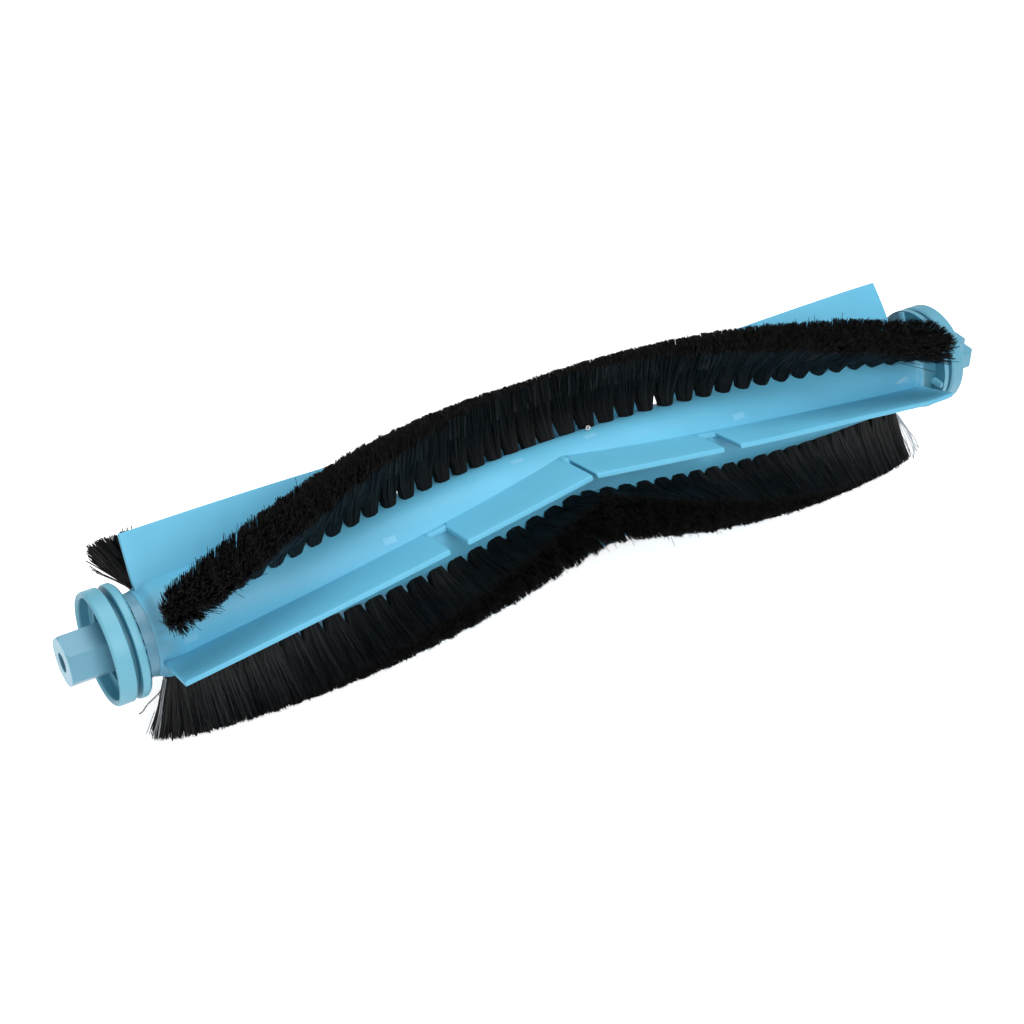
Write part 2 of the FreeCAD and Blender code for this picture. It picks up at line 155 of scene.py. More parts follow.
class Graph:
    """The node tree of one material or of the world."""

    def __init__(self, tree: bpy.types.NodeTree) -> None:
        """Take over a tree and empty it."""
        self.tree = tree
        tree.nodes.clear()

    def node(
        self,
        kind: str,
        settings: dict[str, object] | None = None,
        inputs: dict[object, object] | None = None,
        output: object = 0,
    ) -> Socket:
        """Add a node and return one of its outputs.

        Args:
            kind: Type of the node.
            settings: Properties of the node.
            inputs: Numbers, colours or sockets by input name or index.
            output: Name or index of the output that is returned.

        Returns:
            The chosen output.
        """
        made = self.tree.nodes.new(kind)
        for name, value in (settings or {}).items():
            setattr(made, name, value)
        for key, value in (inputs or {}).items():
            if isinstance(value, Socket):
                self.tree.links.new(value.output, made.inputs[key])
            else:
                made.inputs[key].default_value = value
        if not made.outputs:
            return Socket(self, None)
        return Socket(self, made.outputs[output])

    def position(self) -> Socket:
        """Return the place on the surface, in the frame of the model, in metres."""
        return self.node("ShaderNodeTexCoord", output="Object")

    def noise(self, size: float, detail: float = 2.0, place: Socket | None = None) -> Socket:
        """Return a noise value from 0 to 1 with features of a size in millimetres."""
        inputs = {"Vector": place or self.position(), "Scale": 1 / (size * MM), "Detail": detail}
        return self.node("ShaderNodeTexNoise", {}, inputs, "Fac")

    def mix(self, factor: Socket, low: "Colour | Socket", high: "Colour | Socket") -> Socket:
        """Return a blend of two colours.

        Args:
            factor: Weight of the second colour.
            low: Colour at weight 0.
            high: Colour at weight 1.

        Returns:
            The blend.
        """
        inputs = {
            MIX_FACTOR: factor,
            MIX_LOW: low if isinstance(low, Socket) else (*low, 1),
            MIX_HIGH: high if isinstance(high, Socket) else (*high, 1),
        }
        return self.node("ShaderNodeMix", {"data_type": "RGBA"}, inputs, MIX_COLOUR)

    def bump(self, height: Socket, depth: float, strength: float) -> Socket:
        """Return a normal bent by a height from 0 to 1, at a depth in millimetres."""
        inputs = {"Height": height, "Distance": depth * MM, "Strength": strength}
        return self.node("ShaderNodeBump", {}, inputs, "Normal")


def linear(red: int, green: int, blue: int) -> Colour:
    """Return the linear colour of an 8-bit sRGB colour.

    Args:
        red: Red, from 0 to 255.
        green: Green, from 0 to 255.
        blue: Blue, from 0 to 255.

    Returns:
        The linear channels, from 0 to 1.
    """

    def channel(value: int) -> float:
        """Return one linear channel."""
        share = value / 255
        return share / 12.92 if share <= 0.04045 else ((share + 0.055) / 1.055) ** 2.4

    return channel(red), channel(green), channel(blue)


def shaded(colour: Colour, factor: float) -> Colour:
    """Return a colour made lighter or darker by a factor."""
    return tuple(min(1.0, part * factor) for part in colour)


def new_material(name: str) -> tuple[bpy.types.Material, Graph]:
    """Return a new material and its empty node tree.

    Args:
        name: Name of the material.

    Returns:
        The material and the tree.
    """
    material = bpy.data.materials.new(name)
    material.use_nodes = True
    return material, Graph(material.node_tree)


class Wear(Enum):
    """How much handling shows on a moulded finish."""

    LIGHT = 0.35
    RUBBED = 0.8


@dataclass(frozen=True)
class Veil:
    """A change of colour in a band across the axis, fading over its edges.

    Attributes:
        colour: Colour inside the band.
        start: Where the band is full, in millimetres along the axis.
        end: Where it is full no more.
        fade: Length over which it comes and goes.
        strength: Weight of the band's colour.
        patch: Size of the patches that break it up, in millimetres, or 0 for none.
        within: Radius inside which the band shows, or 0 for no limit.
        within_fade: Length over which it goes at that radius.
        patch_band: Noise values between which a patch comes up.
    """

    colour: Colour
    start: float
    end: float
    fade: float
    strength: float
    patch: float = 0.0
    within: float = 0.0
    within_fade: float = 0.1
    patch_band: Point = (0.3, 0.62)

    def weight(self, graph: Graph, place: Socket, along: Socket, radius: Socket) -> Socket:
        """Return the weight of the band's colour.

        Args:
            graph: Tree of the material.
            place: Place on the surface.
            along: Its distance along the axis, in metres.
            radius: Its distance from the axis, in metres.

        Returns:
            The weight there.
        """
        rise = along.above((self.start - self.fade) * MM, self.start * MM)
        fall = along.above(self.end * MM, (self.end + self.fade) * MM)
        weight = (rise - fall) * self.strength
        if self.patch:
            weight = weight * graph.noise(self.patch, detail=3.0, place=place).above(*self.patch_band)
        if self.within:
            weight = weight * (1.0 - radius.above((self.within - self.within_fade) * MM, self.within * MM))
        return weight


@dataclass(frozen=True)
class MouldedFinish:
    """A moulded plastic or rubber: mottled colour, fine grain, scuffs and dust.

    Sizes are in millimetres. A band is the pair of noise values between which something comes up.

    Attributes:
        name: Name of the material.
        base: Main colour.
        roughness: Mean roughness.
        grain: Size of the moulded grain.
        grain_depth: Depth of that grain.
        wear: How much handling shows.
        veils: Bands of another colour across the axis, most of them painted shade and painted highlight.
        mottle: Size of the mottling.
        mottle_spread: Change of shade that it brings, and what full wear adds.
        scuff: Size of the scuffs.
        scuff_stretch: How much longer they are along the axis.
        scuff_band: Band of the scuffs.
        scuff_weight: Weight of their colour.
        scuff_shade: Their shade of the main colour.
        scuff_roughness: Roughness that they add.
        speck: Size of the specks of dust.
        speck_band: Band of the specks.
        speck_weight: Weight of their colour, and what full wear adds.
        speck_shade: Their shade of the main colour.
        wave: Size of the unevenness under the grain.
        wave_share: Height of that unevenness, as a share of the grain's.
        grain_strength: Strength of the bump.
        gloss_patch: Size of the patches of other roughness.
        gloss_spread: Range of roughness over these patches.
        ior: Index of refraction.
    """

    name: str
    base: Colour
    roughness: float
    grain: float
    grain_depth: float
    wear: Wear
    veils: tuple[Veil, ...] = ()
    mottle: float = 9.0
    mottle_spread: Point = (0.05, 0.08)
    scuff: float = 1.3
    scuff_stretch: float = 4.0
    scuff_band: Point = (0.60, 0.78)
    scuff_weight: float = 0.4
    scuff_shade: float = 1.4
    scuff_roughness: float = 0.12
    speck: float = 0.5
    speck_band: Point = (0.83, 0.86)
    speck_weight: Point = (0.1, 0.45)
    speck_shade: float = 0.6
    wave: float = 4.0
    wave_share: float = 0.6
    grain_strength: float = 0.5
    gloss_patch: float = 2.2
    gloss_spread: float = 0.16
    ior: float = 1.48

    def worn(self, values: Point) -> float:
        """Return the first value, with as much of the second as the wear brings."""
        return values[0] + values[1] * self.wear.value

    def colour(self, graph: Graph, place: Socket, scuffs: Socket) -> Socket:
        """Return the colour of the surface.

        Args:
            graph: Tree of the material.
            place: Place on the surface.
            scuffs: Weight of the scuffs there.

        Returns:
            The colour there.
        """
        mottle = graph.noise(self.mottle, detail=3.0, place=place)
        spread = self.worn(self.mottle_spread)
        colour = graph.mix(mottle, shaded(self.base, 1 - spread), shaded(self.base, 1 + spread))
        colour = graph.mix(scuffs * self.scuff_weight, colour, shaded(self.base, self.scuff_shade))
        specks = graph.noise(self.speck, detail=0.0, place=place).above(*self.speck_band)
        colour = graph.mix(specks * self.worn(self.speck_weight), colour, shaded(self.base, self.speck_shade))
        if not self.veils:
            return colour
        along, away, up = (graph.node("ShaderNodeSeparateXYZ", {}, {"Vector": place}, axis) for axis in "XYZ")
        radius = (away * away + up * up) ** 0.5
        for veil in self.veils:
            colour = graph.mix(veil.weight(graph, place, along, radius), colour, veil.colour)
        return colour

    def build(self) -> bpy.types.Material:
        """Return the finished material.

        Returns:
            The material, with its nodes in place.
        """
        material, graph = new_material(self.name)
        place = graph.position()
        drawn = graph.node("ShaderNodeMapping", {}, {"Vector": place, "Scale": (1 / self.scuff_stretch, 1.0, 1.0)})
        scuffs = graph.noise(self.scuff, detail=6.0, place=drawn).above(*self.scuff_band) * self.wear.value
        grain = graph.noise(self.grain, detail=2.0, place=place)
        grain = grain + graph.noise(self.wave, detail=1.0, place=place) * self.wave_share
        gloss = (graph.noise(self.gloss_patch, detail=4.0, place=place) - 0.5) * self.gloss_spread
        shader = graph.node(
            "ShaderNodeBsdfPrincipled",
            {},
            {
                "Base Color": self.colour(graph, place, scuffs),
                "Roughness": self.roughness + gloss + scuffs * self.scuff_roughness,
                "Normal": graph.bump(grain, self.grain_depth, self.grain_strength),
                "IOR": self.ior,
            },
        )
        graph.node("ShaderNodeOutputMaterial", {}, {"Surface": shader})
        return material


@dataclass(frozen=True)
class FilamentFinish:
    """Nylon filaments, with a shade of their own for each strand.

    Attributes:
        name: Name of the material.
        dark: Colour of the darkest strands.
        light: Colour of the lightest strands.
        roughness: Mean roughness.
        clear: Weight of light that passes through.
        shade_power: Power of a strand's shade, which keeps most strands dark.
        gloss_spread: Range of roughness over the strands.
        streak: Size of the streaks on a strand, in millimetres.
        streak_depth: Depth of these streaks, in millimetres.
        streak_strength: Strength of the bump.
        ior: Index of refraction.
        specular: Level of the reflection.
    """

    name: str
    dark: Colour
    light: Colour
    roughness: float
    clear: float = 0.0
    shade_power: float = 2.0
    gloss_spread: float = 0.2
    streak: float = 0.12
    streak_depth: float = 0.02
    streak_strength: float = 0.3
    ior: float = 1.53
    specular: float = 0.22

    def build(self) -> bpy.types.Material:
        """Return the finished material.

        Returns:
            The material, with its nodes in place.
        """
        material, graph = new_material(self.name)
        strand = graph.node("ShaderNodeAttribute", {"attribute_name": STRAND}, {}, "Fac")
        streaks = graph.noise(self.streak, detail=2.0)
        shader = graph.node(
            "ShaderNodeBsdfPrincipled",
            {},
            {
                "Base Color": graph.mix(strand**self.shade_power, self.dark, self.light),
                "Roughness": self.roughness + (strand - 0.5) * self.gloss_spread,
                "Normal": graph.bump(streaks, self.streak_depth, self.streak_strength),
                "IOR": self.ior,
                "Specular IOR Level": self.specular,
                "Transmission Weight": self.clear,
            },
        )
        graph.node("ShaderNodeOutputMaterial", {}, {"Surface": shader})
        return material


PAD = linear(126, 198, 229)
# Pale colour that is partly painted highlight: all of it on the stub's end face, and part of it on the sleeve's tapered
# idler end, where the rest is the thin sleeve over the hard core.
PALE_AND_PAINTED_HIGHLIGHT = linear(146, 204, 227)
HAZE = linear(102, 152, 176)
# Painted shadow: a near-black line, broken into patches, that stands in for the shadow at the rear edge of the cup's
# flange.
PAINTED_GAP_SHADOW = linear(24, 44, 54)
# Painted shade: a dark teal that the veils below lay where shade falls, in the grooves, inside the cup, on the cap
# flange's inner face and on the land before the cap.
PAINTED_SHADE = linear(58, 122, 144)
SLEEVE_FINISH = MouldedFinish(
    name="soft_sleeve",
    base=linear(102, 188, 222),
    roughness=0.50,
    grain=0.16,
    grain_depth=0.010,
    wear=Wear.LIGHT,
    veils=(
        Veil(HAZE, start=6.0, end=9.5, fade=3.5, strength=0.6, patch=5.0, within=8.8),
        # Pale patches at the sleeve's tapered idler end: partly the thin sleeve over the hard core, partly painted
        # highlight where the taper faces up.
        Veil(PALE_AND_PAINTED_HIGHLIGHT, start=168.0, end=172.0, fade=1.4, strength=0.45, patch=3.0, within=8.8),
    ),
)
SPINDLE_FINISH = MouldedFinish(
    name="hard_spindle",
    base=linear(108, 164, 187),
    roughness=0.36,
    grain=0.22,
    grain_depth=0.008,
    wear=Wear.RUBBED,
    veils=(
        # Painted highlight on the stub's end face, which faces the drive end.
        Veil(PALE_AND_PAINTED_HIGHLIGHT, start=-6.5, end=-5.95, fade=0.1, strength=0.8),
        Veil(HAZE, start=5.8, end=9.0, fade=0.4, strength=0.8, patch=3.0),
        Veil(PAD, start=11.0, end=167.0, fade=0.5, strength=1.0),
        # Painted shade on the land between the sleeve's end and the idler cap.
        Veil(PAINTED_SHADE, start=170.4, end=174.0, fade=0.6, strength=0.9),
    ),
)
CUP_FINISH = MouldedFinish(
    name="drive_cup",
    base=linear(109, 180, 203),
    roughness=0.42,
    grain=0.18,
    grain_depth=0.010,
    wear=Wear.LIGHT,
    veils=(
        # Painted shade inside the cup's bore.
        Veil(PAINTED_SHADE, start=0.5, end=4.9, fade=0.2, strength=0.3, within=9.2),
        # Painted shade in the groove before the cup's flange.
        Veil(PAINTED_SHADE, start=3.04, end=3.96, fade=0.05, strength=0.9),
        # Painted shadow line at the rear edge of the cup's flange.
        Veil(PAINTED_GAP_SHADOW, start=5.45, end=5.72, fade=0.06, strength=0.95, patch=0.7),
    ),
)
CAP_FINISH = MouldedFinish(
    name="idler_cap",
    base=linear(103, 169, 193),
    roughness=0.42,
    grain=0.18,
    grain_depth=0.010,
    wear=Wear.LIGHT,
    veils=(
        # Painted shade on the inner face of the cap's flange, which faces the sleeve.
        Veil(PAINTED_SHADE, start=172.97, end=173.03, fade=0.02, strength=0.85),
        # Painted shade in the groove between the cap's flange and its disc.
        Veil(PAINTED_SHADE, start=174.04, end=175.06, fade=0.05, strength=0.9),
    ),
)
BRISTLE_FINISH = FilamentFinish("black_nylon", (0.0035, 0.0033, 0.0033), (0.056, 0.053, 0.052), roughness=0.55)
LOOSE_FINISH = FilamentFinish("loose_nylon", (0.005, 0.005, 0.005), (0.040, 0.038, 0.038), roughness=0.55)
GREY_FINISH = FilamentFinish("grey_fibre", (0.10, 0.10, 0.11), (0.28, 0.28, 0.29), roughness=0.55)
WHITE_FINISH = FilamentFinish("white_fibre", (0.85, 0.85, 0.85), (0.92, 0.92, 0.92), roughness=0.5)
HAZY_FINISH = FilamentFinish("hazy_nylon", (0.26, 0.27, 0.28), (0.46, 0.47, 0.48), roughness=0.35, clear=0.2)
CLEAR_FINISH = FilamentFinish("clear_nylon", (0.60, 0.63, 0.66), (0.88, 0.90, 0.92), roughness=0.25, clear=0.25)


def add_object(name: str, data: bpy.types.ID) -> bpy.types.Object:
    """Return a new object that shows some data, linked to the scene.

    Args:
        name: Name of the object.
        data: Mesh, camera or light that it shows.

    Returns:
        The object.
    """
    made = bpy.data.objects.new(name, data)
    bpy.context.scene.collection.objects.link(made)
    return made


def make_mesh(name: str, points: np.ndarray, faces: Sequence[np.ndarray]) -> bpy.types.Object:
    """Return a new object on the root body, from points in millimetres.

    Args:
        name: Name of the object.
        points: Array of points, one row each.
        faces: Arrays of point indices, one array for each number of corners.

    Returns:
        The object, smooth shaded and linked to the scene.
    """
    mesh = bpy.data.meshes.new(name)
    flat = np.concatenate([part.ravel() for part in faces]).astype(np.int32)
    counts = np.concatenate([np.full(len(part), part.shape[1], np.int32) for part in faces])
    starts = np.concatenate([[0], np.cumsum(counts)[:-1]]).astype(np.int32)
    mesh.vertices.add(len(points))
    mesh.vertices.foreach_set("co", (np.asarray(points, np.float32) * MM).ravel())
    mesh.loops.add(len(flat))
    mesh.loops.foreach_set("vertex_index", flat)
    mesh.polygons.add(len(counts))
    mesh.polygons.foreach_set("loop_start", starts)
    mesh.polygons.foreach_set("use_smooth", np.ones(len(counts), bool))
    mesh.update(calc_edges=True)
    mesh.validate()
    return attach(add_object(name, mesh), ROOT_BODY)


def finish_piece(piece: bpy.types.Object, material: bpy.types.Material) -> None:
    """Give a piece its material.

    Args:
        piece: The piece.
        material: Its only material.
    """
    piece.data.materials.clear()
    piece.data.materials.append(material)


def shade_strands(piece: bpy.types.Object, shades: Sequence[np.ndarray]) -> None:
    """Store a shade for each point of a piece, which its finish reads."""
    shade = piece.data.attributes.new(STRAND, "FLOAT", "POINT")
    shade.data.foreach_set("value", np.concatenate(shades).astype(np.float32))


def grid_faces(rows: int, columns: int, closed: bool) -> np.ndarray:
    """Return the quads of a grid of points.

    Args:
        rows: Number of rows.
        columns: Number of points in a row.
        closed: Whether the last point of a row joins the first.

    Returns:
        Point indices, four for each quad.
    """
    last = columns if closed else columns - 1
    row, column = np.meshgrid(np.arange(rows - 1), np.arange(last), indexing="ij")
    after = (column + 1) % columns
    corners = [row * columns + column, (row + 1) * columns + column]
    corners += [(row + 1) * columns + after, row * columns + after]
    return np.stack([part.ravel() for part in corners], 1)


def join_parts(parts: Iterable[tuple[np.ndarray, list[np.ndarray]]]) -> tuple[np.ndarray, list[np.ndarray]]:
    """Return the points and faces of several parts as one.

    Args:
        parts: Points and faces of each part.

    Returns:
        All points, and an array of faces for each number of corners.
    """
    points = []
    by_corners: dict[int, list[np.ndarray]] = {}
    first = 0
    for part_points, part_faces in parts:
        points.append(part_points)
        for faces in part_faces:
            by_corners.setdefault(faces.shape[1], []).append(faces + first)
        first += len(part_points)
    return np.concatenate(points), [np.concatenate(found) for found in by_corners.values()]


@dataclass(frozen=True)
class Plan:
    """Main stations and radii of the roller, in millimetres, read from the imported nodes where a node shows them."""

    sleeve_start: float
    sleeve_end: float
    core_radius: float = 6.4
    sleeve_radius: float = 8.35
    blade_tip_radius: float = 17.1
    bristle_radius: float = 20.2
    blade_count: int = 3

    @classmethod
    def from_frame(cls) -> "Plan":
        """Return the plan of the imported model."""
        low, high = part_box("blade_sleeve")
        return cls(low.x / MM, high.x / MM)

    @property
    def middle(self) -> float:
        """Place of the middle of the sleeve."""
        return (self.sleeve_start + self.sleeve_end) / 2

    @property
    def turns(self) -> list[float]:
        """Turn of each blade and row from the first one, in degrees."""
        return [360 / self.blade_count * index for index in range(self.blade_count)]


@dataclass
class Sleeve:
    """The soft sleeve: a tube with three chevron blades, each in four stretches over a low rib."""

    plan: Plan
    aim: float = 165.2
    end_offset: float = 2.34
    middle_offset: float = -7.33
    thickness: float = 1.0
    inset: float = 0.6
    notch_place: float = 28.55
    notch_width: float = 3.5
    slit: float = 0.8
    rib_height: float = 0.9
    edge: float = 0.26
    taper_length: float = 2.4
    taper_depth: float = 0.85
    burial: float = 0.3
    bend_start: float = 45.0
    bend_length: float = 25.0
    bend_rise: float = 0.3
    bend_power: float = 1.6
    curl_length: float = 6.0
    curl_rise: float = 0.65
    curl_power: float = 1.5
    tip_drift: tuple[float, float, float] = (0.0, 0.0, 0.75)
    sharp_angle: float = 50.0
    around_steps: int = 160
    station_step: float = 2.0
    corner_steps: int = 4
    face_steps: int = 5

    def tube(self) -> tuple[np.ndarray, np.ndarray]:
        """Return the points and faces of the tube, which comes down softly at its ends.

        Returns:
            Points and quads.
        """
        plan = self.plan
        profile = [(plan.sleeve_start, plan.core_radius)]
        steps = 2 * self.corner_steps
        for step in range(steps + 1):
            share = step / steps
            soft = share * share * (3 - 2 * share)
            radius = plan.sleeve_radius - self.taper_depth * (1 - soft)
            profile.append((plan.sleeve_start + self.taper_length * share, radius))
        profile += [(2 * plan.middle - along, radius) for along, radius in profile[::-1]]
        angles = np.arange(self.around_steps) * 2 * math.pi / self.around_steps
        rings = np.array(profile)
        points = np.stack(
            [
                np.repeat(rings[:, 0], self.around_steps),
                np.outer(rings[:, 1], np.cos(angles)).ravel(),
                np.outer(rings[:, 1], np.sin(angles)).ravel(),
            ],
            1,
        )
        return points, grid_faces(len(profile), self.around_steps, True)

    def offset(self, along: float) -> float:
        """Return how far the upper face of a blade lies off the axis at a place along it.

        Args:
            along: Place along the axis.

        Returns:
            The offset.
        """
        reach = self.plan.middle - self.plan.sleeve_start - self.inset
        share = abs(along - self.plan.middle) / reach
        return self.middle_offset + (self.end_offset - self.middle_offset) * share

    def bend(self, along: float) -> float:
        """Return how far the tip of a soft blade has bent up, which shows towards the idler end.

        Args:
            along: Place along the axis.

        Returns:
            The distance at the tip.
        """
        end = self.plan.sleeve_end - self.inset
        slow = min(max((along - end + self.bend_start) / self.bend_length, 0.0), 1.0)
        quick = min(max((along - end + self.curl_length) / self.curl_length, 0.0), 1.0)
        return self.bend_rise * slow * slow * (3 - 2 * slow) + self.curl_rise * quick**self.curl_power

    def section(self, along: float, tip_radius: float, shrink: float) -> list[Point]:
        """Return the outline of a blade across the axis: offset and height, from root to tip and back.

        Args:
            along: Place along the axis.
            tip_radius: Reach of the blade or rib from the axis.
            shrink: How much its faces and tip are drawn in, near its ends.

        Returns:
            The corners of the outline.
        """
        buried = self.plan.sleeve_radius - self.taper_depth - self.burial
        reach = tip_radius - shrink

        def surface(offset: float, radius: float) -> float:
            """Return the height of a cylinder at an offset."""
            return math.sqrt(max(radius**2 - offset**2, 0.0))

        def side(face: float, out: int) -> list[Point]:
            """Return one face from the root to the rounded edge at the tip.

            Args:
                face: Offset of the face.
                out: Direction out of the blade, -1 or 1.

            Returns:
                Corners from root to tip.
            """
            inner = face - out * self.edge
            low, high = surface(face, buried), surface(inner, reach) - self.edge
            line = [(face, low + (high - low) * step / self.face_steps) for step in range(self.face_steps)]
            for step in range(self.corner_steps + 1):
                angle = math.pi / 2 * step / self.corner_steps
                line.append((inner + out * self.edge * math.cos(angle), high + self.edge * math.sin(angle)))
            return line

        upper = self.offset(along) + shrink
        lower = self.offset(along) + self.thickness - shrink
        outline = side(upper, -1) + side(lower, 1)[::-1]
        span = self.plan.blade_tip_radius - self.plan.sleeve_radius
        bend = self.bend(along)
        foot = surface(upper, self.plan.sleeve_radius)
        return [
            (offset - bend * max((height - foot) / span, 0.0) ** self.bend_power, height) for offset, height in outline
        ]

    def strip(self, start: float, end: float, tip_radius: float, rounded: bool) -> tuple[np.ndarray, list[np.ndarray]]:
        """Return one stretch of a blade, or of the rib below it.

        Args:
            start: Where it starts along the axis.
            end: Where it ends.
            tip_radius: Its reach from the axis.
            rounded: Whether its ends are rounded.

        Returns:
            Points (along, offset, height) and faces.
        """
        margin = self.edge if rounded else 0.0
        stations = []
        if rounded:
            for step in range(self.corner_steps):
                angle = math.pi / 2 * step / self.corner_steps
                stations.append((start + self.edge * (1 - math.cos(angle)), self.edge * (1 - math.sin(angle))))
        mirrored = [(start + end - along, shrink) for along, shrink in stations]
        count = max(2, round((end - start) / self.station_step))
        stations += [(start + margin + (end - start - 2 * margin) * step / count, 0.0) for step in range(count + 1)]
        stations += mirrored[::-1]
        rows = [[(along, *corner) for corner in self.section(along, tip_radius, shrink)] for along, shrink in stations]
        width = len(rows[0])
        flat = np.array(rows).reshape(-1, 3)
        quads = grid_faces(len(rows), width, False)
        caps = np.array([np.arange(width), np.arange(width)[::-1] + width * (len(rows) - 1)])
        return flat, [quads, caps]

    def stretches(self) -> list[tuple[float, float, float, bool]]:
        """Return start, end, reach and rounding of each stretch of a blade and of the ribs in its gaps.

        Returns:
            What strip takes, one entry for each stretch.
        """
        plan = self.plan
        gaps = [
            (plan.middle - self.notch_place, self.notch_width),
            (plan.middle, self.slit),
            (plan.middle + self.notch_place, self.notch_width),
        ]
        found = []
        start = plan.sleeve_start + self.inset
        overlap = self.edge * 2
        for place, width in gaps:
            rib_start, rib_end = place - width / 2, place + width / 2
            found.append((start, rib_start, plan.blade_tip_radius, True))
            found.append((rib_start - overlap, rib_end + overlap, plan.sleeve_radius + self.rib_height, False))
            start = rib_end
        found.append((start, plan.sleeve_end - self.inset, plan.blade_tip_radius, True))
        return found

    def build(self) -> bpy.types.Object:
        """Return the sleeve as one piece.

        Returns:
            The piece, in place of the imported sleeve.
        """
        points, faces = self.tube()
        parts = [(points, [faces])]
        span = self.plan.blade_tip_radius - self.plan.sleeve_radius
        for turn, drift in zip(self.plan.turns, self.tip_drift):
            angle = math.radians(self.aim + turn)
            height = np.array([math.cos(angle), math.sin(angle)])
            across = np.array([-math.sin(angle), math.cos(angle)])
            for stretch in self.stretches():
                flat, strip_faces = self.strip(*stretch)
                rise = np.maximum(flat[:, 2] - self.plan.sleeve_radius, 0) / span
                place = flat[:, 2:3] * height + flat[:, 1:2] * across
                parts.append((np.column_stack([flat[:, 0] + drift * rise, place]), strip_faces))
        piece = make_mesh("soft_sleeve", *join_parts(parts))
        piece.data.set_sharp_from_angle(angle=math.radians(self.sharp_angle))
        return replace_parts(piece, "blade_sleeve")


class Half(Enum):
    """Half of a row, with the direction from the middle to its end."""

    DRIVE = -1
    IDLER = 1


@dataclass(frozen=True)
class Tuft:
    """Place of one tuft.

    Attributes:
        along: Place along the axis.
        angle: Angle about the axis, in degrees.
        half: Half of the row that it stands in.
        from_end: Number of tufts between this one and the end of the row.
        from_middle: Number of tufts between this one and the middle.
    """

    along: float
    angle: float
    half: Half
    from_end: int
    from_middle: int


@dataclass(frozen=True)
class RowLook:
    """How the tips of one row stand, for each half of it.

    Attributes:
        half_width: Half the width of the tips across the row, in millimetres.
        splay: How far the last tufts lean out along the axis, in millimetres.
        lean: How far the tips lean round the axis, in millimetres.
        root_radius: Radius of a tuft where it leaves the sleeve, in millimetres.
        root_square: How square a tuft is there, from 0 for a disc to 1.
        merge: Share of the height at which neighbouring tufts have grown to their full length.
        painted_sheen: Painted sheen, the shade of the lightest filaments on the sides near the middle, full light from
            1 up, which stands in for highlights along the filaments.
        end_painted_sheen: The same at the ends of the row; in the second row it is higher there, as painted highlight,
            and the middle, under the blade, is kept dark as painted shade.
        tip_shade: Shade of the darkest tips, which are lighter than the sides like frayed nylon; its level for each row
            is partly painted light, darker for the second, lower row and lighter for the first.
    """

    half_width: dict[Half, float]
    splay: dict[Half, float]
    lean: dict[Half, float]
    root_radius: float
    root_square: dict[Half, float]
    merge: float
    painted_sheen: float
    end_painted_sheen: float
    tip_shade: float


def by_half(drive: float, idler: float) -> dict[Half, float]:
    """Return a value for each half of a row."""
    return {Half.DRIVE: drive, Half.IDLER: idler}


ROW_LOOKS = (
    RowLook(
        half_width=by_half(4.2, 4.3),
        splay=by_half(2.0, 1.8),
        lean=by_half(0.0, 0.6),
        root_radius=1.16,
        root_square=by_half(0.4, 0.0),
        merge=0.53,
        painted_sheen=0.60,
        end_painted_sheen=0.60,
        tip_shade=0.75,
    ),
    RowLook(
        half_width=by_half(4.3, 4.3),
        splay=by_half(3.4, 0.6),
        lean=by_half(0.0, 0.0),
        root_radius=1.28,
        root_square=by_half(0.5, 0.5),
        merge=0.46,
        # Painted light: the second row's side filaments are dark near its middle, under the blade, and light at its
        # ends.
        painted_sheen=0.45,
        end_painted_sheen=2.20,
        tip_shade=0.08,
    ),
    RowLook(
        half_width=by_half(4.3, 2.2),
        splay=by_half(3.2, 1.2),
        lean=by_half(0.7, 0.0),
        root_radius=1.20,
        root_square=by_half(0.0, 0.0),
        merge=0.50,
        painted_sheen=0.70,
        end_painted_sheen=0.80,
        tip_shade=0.50,
    ),
)


